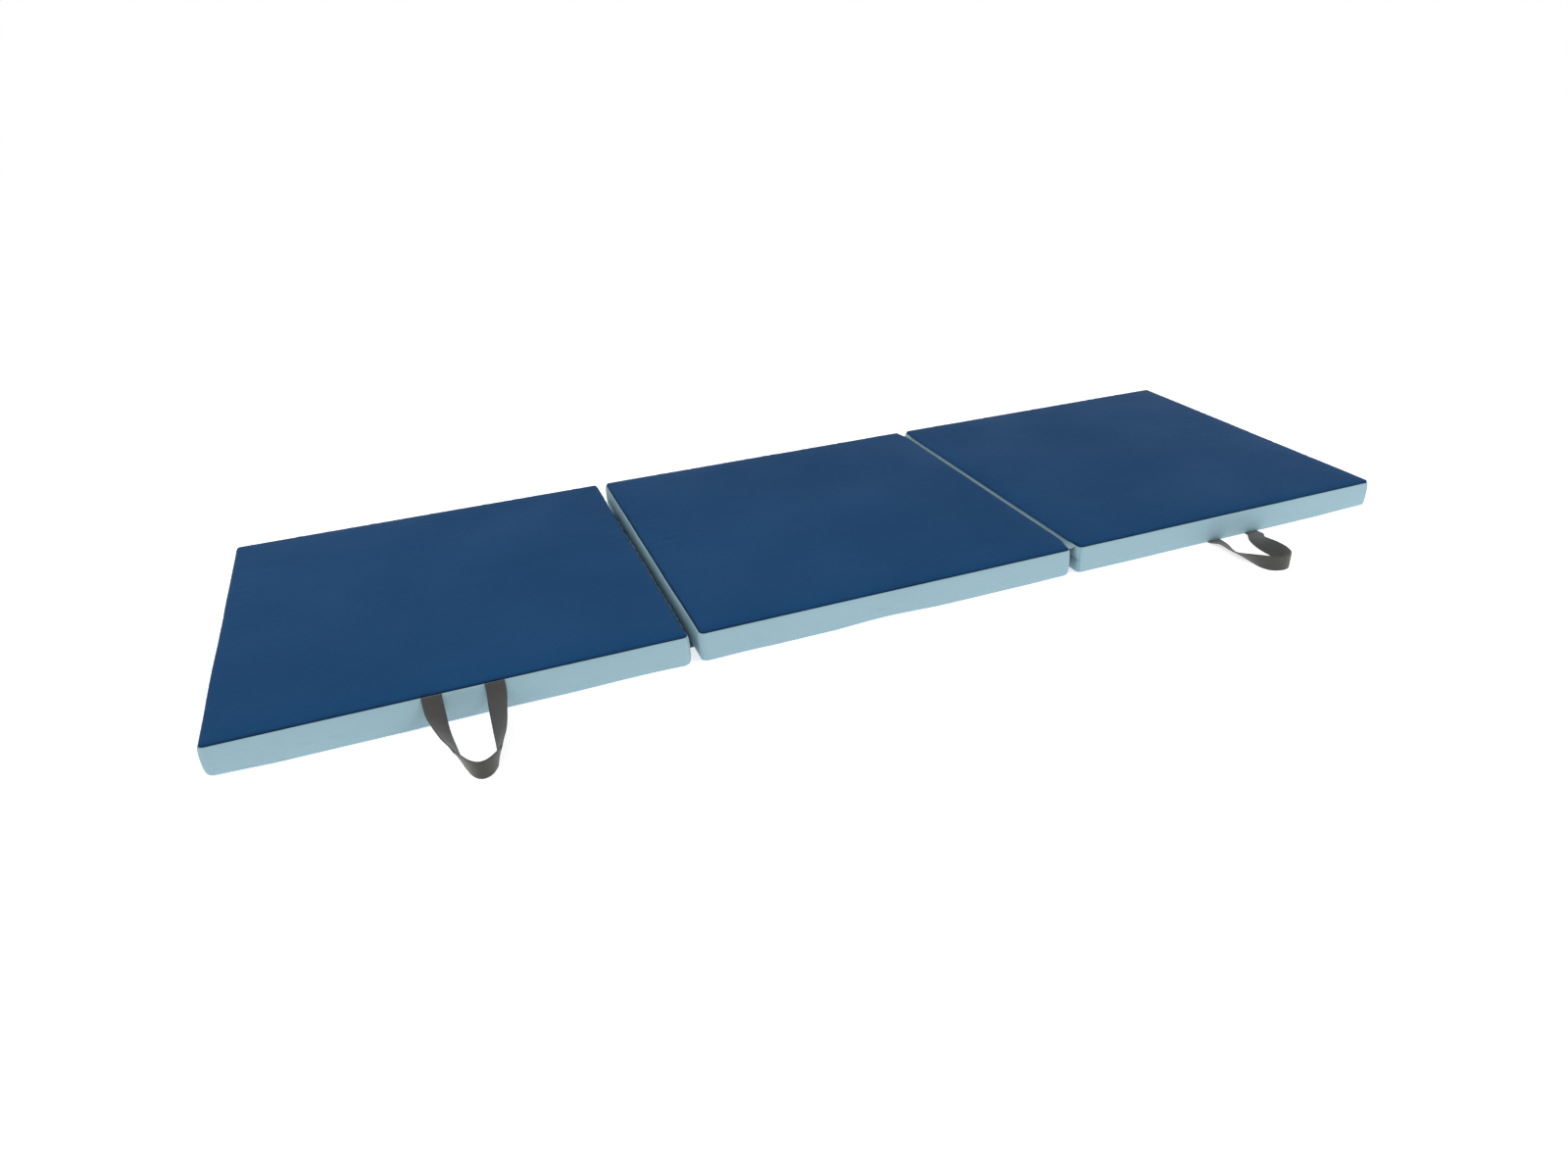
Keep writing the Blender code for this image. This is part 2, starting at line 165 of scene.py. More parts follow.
class Look:
    """A node material, built step by step."""

    def __init__(self, name, roughness, metallic=0.0, sheen=0.0, specular=0.5):
        self.material = bpy.data.materials.new(name)
        self.material.use_nodes = True
        self.tree = self.material.node_tree
        self.shader = self.tree.nodes["Principled BSDF"]
        self.shader.inputs["Roughness"].default_value = roughness
        self.shader.inputs["Metallic"].default_value = metallic
        self.shader.inputs["Specular IOR Level"].default_value = specular
        self.shader.inputs["Sheen Weight"].default_value = sheen

    def node(self, kind, values=None, **settings):
        made = self.tree.nodes.new(kind)
        for key, value in settings.items():
            setattr(made, key, value)
        for key, value in (values or {}).items():
            made.inputs[key].default_value = value
        return made

    def link(self, source, target):
        self.tree.links.new(source, target)

    def place(self):
        return self.node("ShaderNodeTexCoord").outputs["Object"]

    def attribute(self, name):
        return self.node("ShaderNodeAttribute", attribute_name=name)

    def noise(self, place, scale, detail=2.0):
        made = self.node("ShaderNodeTexNoise", {"Scale": scale, "Detail": detail})
        self.link(place, made.inputs["Vector"])
        return made.outputs["Fac"]

    def spread(self, value, low, high, out_low=0.0, out_high=1.0):
        values = {"From Min": low, "From Max": high, "To Min": out_low, "To Max": out_high}
        made = self.node("ShaderNodeMapRange", values)
        self.link(value, made.inputs["Value"])
        return made.outputs["Result"]

    def sum(self, operation, a, b):
        made = self.node("ShaderNodeMath", operation=operation)
        for slot, value in enumerate((a, b)):
            if isinstance(value, (int, float)):
                made.inputs[slot].default_value = value
            else:
                self.link(value, made.inputs[slot])
        return made.outputs[0]

    def colours(self, factor, first, second):
        made = self.node("ShaderNodeMix", data_type="RGBA")
        made.inputs["A"].default_value = (*first, 1)
        made.inputs["B"].default_value = (*second, 1)
        self.link(factor, made.inputs["Factor"])
        return made

    def base(self, colour):
        self.link(colour, self.shader.inputs["Base Color"])

    def bumps(self, heights):
        """Stacks bumps: each is (height, strength, distance in metres)."""
        last = None
        for height, strength, distance in heights:
            made = self.node("ShaderNodeBump", {"Strength": strength, "Distance": distance})
            self.link(height, made.inputs["Height"])
            if last:
                self.link(last.outputs["Normal"], made.inputs["Normal"])
            last = made
        self.link(last.outputs["Normal"], self.shader.inputs["Normal"])


def wave(look, coordinate, pitch, phase=0.0):
    """A smooth ridge pattern, 0 to 1, with this pitch along a coordinate in metres."""
    turned = look.sum("MULTIPLY", coordinate, 2 * math.pi / pitch)
    if phase:
        turned = look.sum("ADD", turned, phase)
    sine = look.node("ShaderNodeMath", operation="SINE")
    look.link(turned, sine.inputs[0])
    return look.spread(sine.outputs[0], -1, 1)


def coated_fabric(name, main, dark, roughness, grain_strength, weave, specular):
    """Fabric with a thin coating: a fine weave under a leathery grain, with soft drifts of colour."""
    look = Look(name, roughness, specular=specular)
    place = look.place()
    drift = look.noise(place, 5.5, 3.0)
    mottle = look.noise(place, 90.0, 2.0)
    tone = look.sum("ADD", look.spread(drift, 0.35, 0.68, 0, 0.14), look.spread(mottle, 0.3, 0.7, 0, 0.06))
    # painted shade: the seam_shade attribute darkens the colour down in the seams and along the corner seam
    # and zip fold lines
    edge = look.attribute("seam_shade").outputs["Fac"]
    mixed = look.colours(look.sum("ADD", tone, edge), main, dark)
    mixed.clamp_factor = True
    look.base(mixed.outputs["Result"])
    gloss = look.spread(drift, 0.3, 0.7, roughness - 0.05, roughness + 0.07)
    look.link(gloss, look.shader.inputs["Roughness"])
    split = look.node("ShaderNodeSeparateXYZ")
    look.link(place, split.inputs[0])
    warp, weft = (wave(look, split.outputs[axis], weave) for axis in (0, 1))
    flat_weave = look.sum("MULTIPLY", warp, weft)
    cells = look.node("ShaderNodeTexVoronoi", {"Scale": 620.0}, feature="DISTANCE_TO_EDGE")
    look.link(place, cells.inputs["Vector"])
    look.bumps([
        (drift, 0.10, 0.002),
        (flat_weave, grain_strength, 0.00006),
        (look.spread(cells.outputs["Distance"], 0, 0.25), grain_strength, 0.00008),
    ])
    return look.material


def webbing_look():
    """Polyester webbing: ribs across the strap, warp yarns along it, and a closer edge."""
    look = Look("grey_webbing", 0.82, sheen=0.25, specular=0.25)
    split = look.node("ShaderNodeSeparateXYZ")
    look.link(look.attribute("weave").outputs["Vector"], split.inputs[0])
    along, across = split.outputs[0], split.outputs[1]
    yarns = wave(look, across, WARP_PITCH)
    ribs = wave(look, along, RIB_PITCH)
    offset = wave(look, look.sum("ADD", along, look.sum("MULTIPLY", across, 0.5)), RIB_PITCH * 2, 1.1)
    lengthwise = look.sum("ADD", look.sum("MULTIPLY", yarns, 0.6), 0.4)
    crosswise = look.sum("ADD", look.sum("MULTIPLY", ribs, 0.5), look.sum("MULTIPLY", offset, 0.5))
    body = look.sum("MULTIPLY", lengthwise, crosswise)
    fibres = look.noise(look.place(), 900.0, 2.0)
    tone = look.sum("ADD", look.sum("MULTIPLY", body, 0.75), look.spread(fibres, 0.35, 0.65, 0, 0.25))
    mixed = look.colours(tone, WEB_DARK, WEB_LIGHT)
    mixed.clamp_factor = True
    look.base(mixed.outputs["Result"])
    look.bumps([(body, 0.55, 0.00030), (fibres, 0.25, 0.00008)])
    return look.material


def plain_look(name, main, dark, roughness, metallic, scale, bump):
    """A material with fine mottling: foam cells, nylon, thread or worn metal."""
    look = Look(name, roughness, metallic)
    fine = look.noise(look.place(), scale, 3.0)
    mixed = look.colours(look.spread(fine, 0.3, 0.7), main, dark)
    look.base(mixed.outputs["Result"])
    gloss = look.spread(fine, 0.3, 0.7, roughness - 0.06, roughness + 0.06)
    look.link(gloss, look.shader.inputs["Roughness"])
    look.bumps([(fine, bump, 0.0002)])
    return look.material


def darker(colour, share=0.8):
    return tuple(part * share for part in colour)


looks = {
    "top": coated_fabric("navy_coated_fabric", NAVY, NAVY_DARK, 0.46, 0.22, 0.0011, 0.02),
    "side": coated_fabric("light_blue_coated_fabric", LIGHT_BLUE, LIGHT_BLUE_DARK, 0.55, 0.26, 0.0011, 0.16),
    "webbing": webbing_look(),
    "foam": plain_look("closed_cell_foam", FOAM, darker(FOAM), 0.9, 0.0, 700.0, 0.5),
    "coil": plain_look("nylon_zip_coil", COIL, darker(COIL), 0.42, 0.0, 400.0, 0.2),
    "tape": plain_look("woven_zip_tape", COIL, darker(COIL, 0.7), 0.85, 0.0, 1600.0, 0.6),
    "thread": plain_look("polyester_thread", THREAD, darker(THREAD), 0.7, 0.0, 1500.0, 0.3),
    "metal": plain_look("satin_metal", METAL, darker(METAL, 0.7), 0.34, 1.0, 260.0, 0.1),
}


# ---------------------------------------------------------------- mesh helpers


def new_object(name, points, faces, look, smooth=True):
    """A mesh object with its faces turned outwards."""
    mesh = bpy.data.meshes.new(name)
    mesh.from_pydata([tuple(p) for p in points], [], [tuple(int(i) for i in f) for f in faces])
    mesh.validate()
    made = bmesh.new()
    made.from_mesh(mesh)
    bmesh.ops.recalc_face_normals(made, faces=made.faces)
    made.to_mesh(mesh)
    made.free()
    if smooth:
        mesh.shade_smooth()
        mesh.set_sharp_from_angle(angle=math.radians(50))
    obj = bpy.data.objects.new(name, mesh)
    bpy.context.scene.collection.objects.link(obj)
    mesh.materials.append(look)
    return obj


def apply_modifiers(obj):
    evaluated = obj.evaluated_get(bpy.context.evaluated_depsgraph_get())
    made = bpy.data.meshes.new_from_object(evaluated)
    obj.modifiers.clear()
    obj.data = made
    return obj


def thicken(obj, thickness=SHEET):
    """Gives an open sheet its thickness inwards, and closes its rim."""
    solid = obj.modifiers.new("thickness", "SOLIDIFY")
    solid.thickness = thickness
    solid.offset = -1.0
    solid.use_rim = True
    bpy.context.view_layer.update()
    return apply_modifiers(obj)


def set_point_values(obj, name, values, kind="FLOAT"):
    layer = obj.data.attributes.new(name, kind, "POINT")
    key = "vector" if kind == "FLOAT_VECTOR" else "value"
    layer.data.foreach_set(key, np.asarray(values, np.float32).ravel())


# ---------------------------------------------------------------- covers


def stops(length):
    """Grid lines across a length: close together at both ends, even between."""
    inner = length - 2 * EDGE_STOPS[-1]
    count = round(inner / CELL)
    middle = [EDGE_STOPS[-1] + inner * k / count for k in range(1, count)]
    return np.array([*EDGE_STOPS, *middle, *(length - s for s in reversed(EDGE_STOPS))]) - length / 2


def round_corner(x, y, half_x, half_y):
    """Moves a grid point in a square corner onto the rounded corner."""
    inner_x, inner_y = half_x - CORNER_RADIUS, half_y - CORNER_RADIUS
    if abs(x) <= inner_x or abs(y) <= inner_y:
        return x, y
    a, b = (abs(x) - inner_x) / CORNER_RADIUS, (abs(y) - inner_y) / CORNER_RADIUS
    across = inner_x + CORNER_RADIUS * a * math.sqrt(1 - b * b / 2)
    along = inner_y + CORNER_RADIUS * b * math.sqrt(1 - a * a / 2)
    return math.copysign(across, x), math.copysign(along, y)


def smooth_bump(value, middle, reach):
    """1 at the middle, falling smoothly to 0 at the reach."""
    t = min(abs(value - middle) / reach, 1.0)
    return (1 - t * t) ** 2


def roll_height(inset):
    """Rise of the top sheet above its seam, at a distance in from it."""
    return float(np.interp(inset, [r[0] for r in ROLL], [r[1] for r in ROLL]))


def drift_of(panel, x, y, z, scale, offset):
    return noise.noise(Vector((x * scale + 7.3 * panel, y * scale + offset, z * scale)))


class Cover:
    """One panel's closed cover before it is cut into its sewn pieces."""

    def __init__(self, panel):
        self.panel = panel
        low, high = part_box(f"bottom_cover_{panel}")
        self.middle = (low + high) / 2
        self.half_x, self.half_y = (high.x - low.x) / 2, (high.y - low.y) / 2
        self.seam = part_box(f"top_cover_{panel}")[0].z
        self.zip_side = ZIP_SIDES[panel]
        self.tape_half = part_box(f"zip_tape_{panel}")[1].y - 0.003
        self.points, self.faces, self.labels = [], [], []
        self.build()

    def seam_shift(self, x, y):
        """How far the outline stands out or in along its own side, as sewn soft edges do."""
        near_side = min(self.half_x - abs(x), self.half_y - abs(y)) < 0.02
        if not near_side:
            return 0.0
        return OUTLINE_DRIFT * drift_of(self.panel, x, y, 0, 7.0, 3.1)

    def side_belly(self, x, y):
        """Extra swell of an end face, where the foam presses the cover out."""
        if self.panel == 1 and x > 0:
            return 0.0008 * smooth_bump(y, -0.4 * self.half_y, 0.34)
        if self.panel == 1 and x < 0:
            return 0.0022 * smooth_bump(y, -0.55 * self.half_y, 0.20)
        return 0.0

    def overhang(self, x, y, inset):
        """How far the top's rolled edge leans over the strip that joins it to its neighbour at the top."""
        if x * OVERHANG_SIDES.get(self.panel, 0) < self.half_x - 0.05 or abs(y) > self.half_y - 0.006:
            return 0.0
        along = min(1.0, (self.half_y - 0.006 - abs(y)) / 0.03)
        share = float(np.interp(inset, (0.0, 0.0016, 0.0038, 0.012, 0.05), (0.0, 1.0, 0.95, 0.6, 0.0)))
        return OVERHANG * share * along * along * (3 - 2 * along)

    def settle(self, x, y):
        """How far the base stands off the floor in its gentle waves along the near and far edges."""
        wave_height = max(0.0, drift_of(self.panel, x, y * 0.4, 0, 6.0, 9.7)) * BASE_WAVE
        edge = max(smooth_bump(abs(y), self.half_y, 0.05), 0.6 * smooth_bump(abs(x), self.half_x, 0.04))
        return wave_height * edge

    def add(self, x, y, z):
        self.points.append((x + self.middle.x, y + self.middle.y, z))
        return len(self.points) - 1

    def build(self):
        xs, ys = stops(2 * self.half_x), stops(2 * self.half_y)
        groove = -SIDE_PROFILE[0][1]
        tuck = -SIDE_PROFILE[-1][1]
        top, base = {}, {}
        columns, rows = len(xs), len(ys)
        for i, x in enumerate(xs):
            for j, y in enumerate(ys):
                inset = min(self.half_x - abs(x), self.half_y - abs(y))
                swell = drift_of(self.panel, x, y, 0, 3.2, 1.3) * 0.0009 * min(inset / 0.05, 1)
                ripple = drift_of(self.panel, x, y, 0, 14.0, 5.5) * 0.00035 * min(inset / 0.01, 1)
                shrink_top, shrink_base = self.pull(groove), self.pull(tuck)
                tx, ty = round_corner(x, y, self.half_x, self.half_y)
                sx, sy = self.shifted(tx, ty)
                leaning = sx + math.copysign(self.overhang(x, y, inset), x)
                crown = self.seam + roll_height(inset) + swell + ripple
                top[i, j] = self.add(leaning * shrink_top[0], sy * shrink_top[1], crown)
                lift = self.settle(tx, ty)
                edge = min(inset / EDGE_STOPS[2], 1.0)
                height = FLOOR_CLEARANCE + (BASE_SEAM_HEIGHT - FLOOR_CLEARANCE) * (1 - edge) + lift
                base[i, j] = self.add(sx * shrink_base[0], sy * shrink_base[1], height)
        for i in range(columns - 1):
            for j in range(rows - 1):
                self.face((top[i, j], top[i + 1, j], top[i + 1, j + 1], top[i, j + 1]), "top")
                self.face((base[i, j], base[i, j + 1], base[i + 1, j + 1], base[i + 1, j]), "base")
        ring = [(i, 0) for i in range(columns)] + [(columns - 1, j) for j in range(1, rows)]
        ring += [(i, rows - 1) for i in range(columns - 2, -1, -1)]
        ring += [(0, j) for j in range(rows - 2, 0, -1)]
        self.ring_top, self.ring_base = [top[k] for k in ring], [base[k] for k in ring]
        self.ring_place = [round_corner(xs[i], ys[j], self.half_x, self.half_y) for i, j in ring]
        self.sides()

    def pull(self, distance):
        """Scale about the middle that moves the outline in by a distance."""
        return 1 - distance / self.half_x, 1 - distance / self.half_y

    def shifted(self, x, y):
        """A point with its share of the outline's swell."""
        reach = 0.03
        share_x = max(0.0, 1 - (self.half_x - abs(x)) / reach)
        share_y = max(0.0, 1 - (self.half_y - abs(y)) / reach)
        out = self.seam_shift(x, y)
        belly = self.side_belly(x, y)
        return x + math.copysign(share_x * (out + 0.6 * belly), x), y + math.copysign(share_y * out, y)

    def outward(self, k):
        """Unit direction out of the side at a ring point."""
        x, y = self.ring_place[k]
        nx = max(0.0, abs(x) - (self.half_x - CORNER_RADIUS)) / CORNER_RADIUS
        ny = max(0.0, abs(y) - (self.half_y - CORNER_RADIUS)) / CORNER_RADIUS
        size = math.hypot(nx, ny)
        return math.copysign(nx / size, x), math.copysign(ny / size, y)

    def side_heights(self):
        """The side's levels from the top seam to the base seam, with the zip's slit between two of them."""
        tall = self.seam - BASE_SEAM_HEIGHT
        levels = [(self.seam - share * tall, out) for share, out in SIDE_PROFILE]
        middle = self.seam / 2
        levels += [(middle + s * SLIT / 2, 0.0013) for s in (1, -1)]
        return sorted((level for level in set(levels)), key=lambda level: -level[0])

    def sides(self):
        levels = self.side_heights()
        inner = levels[1:-1]
        count = len(self.ring_place)
        grid = [self.ring_top]
        for z, out in inner:
            row = []
            share = (self.seam - z) / self.seam
            for k in range(count):
                x, y = self.ring_place[k]
                sx, sy = self.shifted(x, y)
                nx, ny = self.outward(k)
                belly = self.side_belly(x, y) * math.sin(math.pi * share)
                ripple = 0.0007 * drift_of(self.panel, x, y, z, 11.0, 2.2)
                ripple += 0.0005 * drift_of(self.panel, x, y, z, 34.0, 4.4)
                swell = out + (belly + ripple) * math.sin(math.pi * share) ** 0.6
                lift = self.settle(x, y) * share ** 4
                row.append(self.add(sx + nx * swell, sy + ny * swell, z + lift))
            grid.append(row)
        grid.append(self.ring_base)
        heights = [z for z, _ in levels]
        for r in range(len(grid) - 1):
            for k in range(count):
                j = (k + 1) % count
                label = self.side_label(k, j, heights[r], heights[r + 1])
                self.face((grid[r][k], grid[r + 1][k], grid[r + 1][j], grid[r][j]), label)

    def side_label(self, k, j, high, low):
        """Which sewn piece a side face belongs to: the boxing, or one of the two bands beside the zip."""
        mid_x = (self.ring_place[k][0] + self.ring_place[j][0]) / 2
        mid_y = (self.ring_place[k][1] + self.ring_place[j][1]) / 2
        corner = CORNER_RADIUS * (1 - math.sqrt(0.5))
        on_zip = mid_x * self.zip_side > self.half_x - corner and abs(mid_y) < self.half_y - corner * 0.5
        if not on_zip:
            return "boxing"
        middle = (high + low) / 2 - self.seam / 2
        if abs(middle) < SLIT / 2 * 0.9:
            return "slit" if abs(mid_y) < self.tape_half else "zip_lower"
        return "zip_upper" if middle > 0 else "zip_lower"

    def face(self, indices, label):
        self.faces.append(indices)
        self.labels.append(label)

    def simulate(self):
        """Settles the slightly slack closed cover under a light pressure, over the foam that holds it."""
        points = np.array(self.points)
        obj = new_object(f"cloth_{self.panel}", self.points, self.faces, looks["top"])
        seams = sorted(set(self.ring_top) | set(self.ring_base))
        held = obj.vertex_groups.new(name="held")
        held.add(list(range(len(points))), FOAM_HOLD, "REPLACE")
        held.add(seams, SEAM_HOLD, "REPLACE")
        modifier = obj.modifiers.new("cloth", "CLOTH")
        cloth = modifier.settings
        cloth.quality = CLOTH_QUALITY
        cloth.mass = CLOTH_MASS
        cloth.tension_stiffness = cloth.compression_stiffness = CLOTH_TENSION
        cloth.shear_stiffness = CLOTH_SHEAR
        cloth.bending_stiffness = CLOTH_BENDING
        cloth.use_pressure = True
        cloth.uniform_pressure_force = CLOTH_PRESSURE
        cloth.effector_weights.gravity = 0
        cloth.vertex_group_mass = "held"
        cloth.pin_stiffness = HOLD_STIFFNESS
        cloth.shrink_min = -SLACK
        modifier.point_cache.frame_start = 1
        modifier.point_cache.frame_end = CLOTH_FRAMES
        scene = bpy.context.scene
        for step in range(1, CLOTH_FRAMES + 1):
            scene.frame_set(step)
        evaluated = obj.evaluated_get(bpy.context.evaluated_depsgraph_get())
        co = np.zeros(len(points) * 3)
        evaluated.data.vertices.foreach_get("co", co)
        moved = co.reshape(-1, 3) - points
        scene.frame_set(1)
        bpy.data.objects.remove(obj)
        size = np.linalg.norm(moved, axis=1)
        print(f"cloth {self.panel}: moved mean {size.mean() * 1000:.2f} mm, most {size.max() * 1000:.2f} mm")
        soft = CAP * np.tanh(size / CAP)
        points += moved * (soft / np.maximum(size, 1e-12))[:, None]
        points[:, 2] = np.maximum(points[:, 2], FLOOR_CLEARANCE)
        self.points = points

    def keep_clear(self):
        """Eases the cover in where it would meet its neighbour: above the top hinge, and in the gaps."""
        points = np.array(self.points)
        room = TOP_LIMIT - TOP_KNEE
        above = np.maximum(points[:, 2] - TOP_KNEE, 0)
        points[:, 2] -= above - room * np.tanh(above / room)
        for k, (x, _, z) in enumerate(points):
            if z > self.seam:
                continue
            away = x - self.middle.x
            allowed = SIDE_LIMIT
            if away * self.zip_side > 0:
                allowed -= ZIP_DIP * smooth_bump(z, self.seam / 2, 0.008)
            if abs(away) > self.half_x + allowed:
                points[k, 0] = self.middle.x + math.copysign(self.half_x + allowed, away)
        self.points = points

    def piece(self, label, name, look, body):
        """One sewn piece of the cover, as a closed thin sheet."""
        chosen = [f for f, kind in zip(self.faces, self.labels) if kind == label]
        used = sorted({i for f in chosen for i in f})
        renumber = {old: new for new, old in enumerate(used)}
        points = [self.points[i] for i in used]
        obj = new_object(name, points, [[renumber[i] for i in f] for f in chosen], look)
        self.turn_outwards(obj)
        # the painted seam shade, stored on each point for the fabric's material
        set_point_values(obj, "seam_shade", [self.shade(p, label) for p in points])
        thicken(obj)
        obj.data.shade_smooth()
        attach(obj, body)
        return obj

    def turn_outwards(self, obj):
        """An open sheet has no inside, so its faces are turned away from the panel's middle."""
        inside = Vector((self.middle.x, self.middle.y, self.seam / 2))
        made = bmesh.new()
        made.from_mesh(obj.data)
        total = sum(f.normal.dot(f.calc_center_median() - inside) * f.calc_area() for f in made.faces)
        if total < 0:
            bmesh.ops.reverse_faces(made, faces=made.faces)
        made.to_mesh(obj.data)
        made.free()

    def shade(self, point, label):
        """Painted shade: darker fabric down in the seams where the turned edge sits, plus painted dark lines
        for the corner seam and the zip's fold on the zip's end face, standing in for the shadow in those
        grooves.
        """
        if label == "top":
            return 1.2 * max(0.0, 1 - (point[2] - self.seam) / 0.0036)
        depth = max(0.0, 1 - abs(point[2] - self.seam) / 0.0012)
        x, y = (point[0] - self.middle.x) * self.zip_side, abs(point[1])
        # painted shade lines on the zip's end face: the corner seam, and beyond the tape's end the zip
        # flap's fold
        if x > self.half_x - 0.004:
            off_seam = abs(y - (self.half_y - CORNER_RADIUS * 0.15)) / 0.0012
            off_zip = abs(point[2] - self.seam / 2 - SLIT / 2) / 0.0005
            line = off_zip if y > self.tape_half else 1.0
            depth = max(depth, 1.6 * max(0.0, 1 - off_seam), 1.6 * max(0.0, 1 - line))
        return 0.35 * depth


def panel_body(panel):
    return f"panel_{panel}"


def foam_slab(panel):
    """The foam under the cover: a slab with softened edges and a slight crown."""
    low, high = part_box(f"foam_core_{panel}")
    inset, rim = 0.0022, 0.004
    middle, half = (low + high) / 2, (high - low) / 2
    rings = []
    levels = (
        (low.z + 0.001, rim), (low.z + rim, 0), (high.z - 2.5 * rim, 0),
        (high.z - 1.6 * rim, rim), (high.z - rim, 0.05),
    )
    for z, pull in levels:
        reach_x, reach_y = half.x - inset - pull, half.y - inset - pull
        corners = ((-1, -1), (1, -1), (1, 1), (-1, 1))
        rings.append([(middle.x + sx * reach_x, middle.y + sy * reach_y, z) for sx, sy in corners])
    points = [p for ring in rings for p in ring]
    faces = [(3, 2, 1, 0), tuple(range(len(points) - 4, len(points)))]
    for r in range(len(rings) - 1):
        for k in range(4):
            j = (k + 1) % 4
            faces.append((4 * r + k, 4 * r + j, 4 * r + 4 + j, 4 * r + 4 + k))
    obj = new_object(f"foam_slab_{panel}", points, faces, looks["foam"])
    bevel = obj.modifiers.new("soft edges", "BEVEL")
    bevel.width = 0.002
    bevel.segments = 2
    bpy.context.view_layer.update()
    apply_modifiers(obj)
    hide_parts(f"foam_core_{panel}")
    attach(obj, panel_body(panel))
    return obj


def build_covers():
    covers = {}
    for panel in PANELS:
        cover = Cover(panel)
        cover.simulate()
        cover.keep_clear()
        covers[panel] = cover
        body = panel_body(panel)
        foam = foam_slab(panel)
        length, width, tall = 2 * cover.half_x, 2 * cover.half_y, cover.seam
        band = ((tall - SLIT) / 2, width)
        plan = (
            ("top", "top_sheet", "top", ("top_cover",), (length, width), "top_fabric"),
            ("base", "base_sheet", "side", ("bottom_cover",), (length, width), "side_fabric"),
            ("boxing", "boxing", "side", ("side_band",), (tall, 2 * length + width), "side_fabric"),
            ("zip_upper", "zip_band_top", "side", ("zip_band_upper",), band, "side_fabric"),
            ("zip_lower", "zip_band_base", "side", ("zip_band_lower",), band, "side_fabric"),
        )
        for label, name, look, stands_for, flat, slot_name in plan:
            obj = cover.piece(label, f"{name}_{panel}", looks[look], body)
            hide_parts(*(f"{node}_{panel}" for node in stands_for))
    return covers


# ---------------------------------------------------------------- zips


def capsule(points, faces, start, end, radius, sides=6):
    """Adds a short closed rod with rounded ends."""
    start, end = Vector(start), Vector(end)
    axis = (end - start).normalized()
    side = axis.orthogonal().normalized()
    up = axis.cross(side)
    first = len(points)
    cap = axis * radius * 0.6
    for centre, size in ((start - cap, 0.5), (start, 1.0), (end, 1.0), (end + cap, 0.5)):
        for k in range(sides):
            turn = 2 * math.pi * k / sides
            points.append(centre + (side * math.cos(turn) + up * math.sin(turn)) * radius * size)
    faces.append(tuple(first + k for k in reversed(range(sides))))
    for r in range(3):
        for k in range(sides):
            j = (k + 1) % sides
            low, high = first + r * sides, first + (r + 1) * sides
            faces.append((low + k, low + j, high + j, high + k))
    faces.append(tuple(first + 3 * sides + k for k in range(sides)))


def zip_line(panel):
    """The tape and the closed coil's teeth; the rows of stitches that hold the tape to its two bands are
    drawn by zip_stitches.
    """
    low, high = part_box(f"zip_tape_{panel}")
    side, body = ZIP_SIDES[panel], panel_body(panel)
    face = high.x if side > 0 else low.x
    middle = (low.z + high.z) / 2
    back = (low.x if side > 0 else high.x)
    depth = abs(face - back)
    tape_front = back + side * depth * 0.45
    points, faces = [], []
    count = 90
    ys = np.linspace(low.y, high.y, count + 1)
    raised = tape_front + side * 0.0003
    profile = [
        (back, low.z), (tape_front, low.z), (tape_front, middle - 0.0022), (raised, middle - 0.0018),
        (raised, middle + 0.0018), (tape_front, middle + 0.0022), (tape_front, high.z), (back, high.z),
    ]
    for y in ys:
        points += [(x, y, z) for x, z in profile]
    n = len(profile)
    faces += [tuple(range(n)), tuple(count * n + k for k in reversed(range(n)))]
    for r in range(count):
        for k in range(n):
            j = (k + 1) % n
            faces.append((r * n + k, (r + 1) * n + k, (r + 1) * n + j, r * n + j))
    tape = new_object(f"zip_tape_cloth_{panel}", points, faces, looks["tape"])
    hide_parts(f"zip_tape_{panel}")
    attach(tape, body)

    points, faces = [], []
    coil_x = face - side * (TOOTH_RADIUS - COIL_STANDS_OUT)
    teeth = int((high.y - low.y - 2 * TOOTH_RADIUS) / TOOTH_PITCH)
    for k in range(teeth):
        y = low.y + TOOTH_PITCH * (k + 0.7)
        lean = 0.00035 if k % 2 else -0.00035
        reach = (-0.0016, 0.0007) if k % 2 else (-0.0007, 0.0016)
        start = (coil_x, y + lean, middle + reach[0])
        end = (coil_x, y - lean, middle + reach[1])
        capsule(points, faces, start, end, TOOTH_RADIUS)
    coil = new_object(f"zip_coil_{panel}", points, faces, looks["coil"])
    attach(coil, body)
    return tape


def stitch_row(points, faces, cover, height, y_low, y_high):
    """Stitches along the zip's face, laid on the finished cover."""
    grid = [(i, p) for i, p in enumerate(cover.points) if abs(p[2] - height) < 0.004]
    side = cover.zip_side
    edge = [p for _, p in grid if (p[0] - cover.middle.x) * side > cover.half_x - 0.004]
    ys = np.array([p[1] for p in edge])
    xs = np.array([p[0] for p in edge])
    order = np.argsort(ys)
    ys, xs = ys[order], xs[order]
    count = int((y_high - y_low) / STITCH_STEP)
    for k in range(count):
        y = y_low + STITCH_STEP * (k + 0.5)
        x = float(np.interp(y, ys, xs)) + side * STITCH_RADIUS * 0.3
        start, end = (x, y - STITCH_LENGTH / 2, height), (x, y + STITCH_LENGTH / 2, height)
        capsule(points, faces, start, end, STITCH_RADIUS, 5)


def zip_stitches(cover):
    points, faces = [], []
    reach = cover.half_y - CORNER_RADIUS - 0.004
    for sign in (1, -1):
        height = cover.seam / 2 + sign * (SLIT / 2 + 0.0028)
        stitch_row(points, faces, cover, height, -reach, reach)
    obj = new_object(f"zip_stitches_{cover.panel}", points, faces, looks["thread"])
    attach(obj, panel_body(cover.panel))


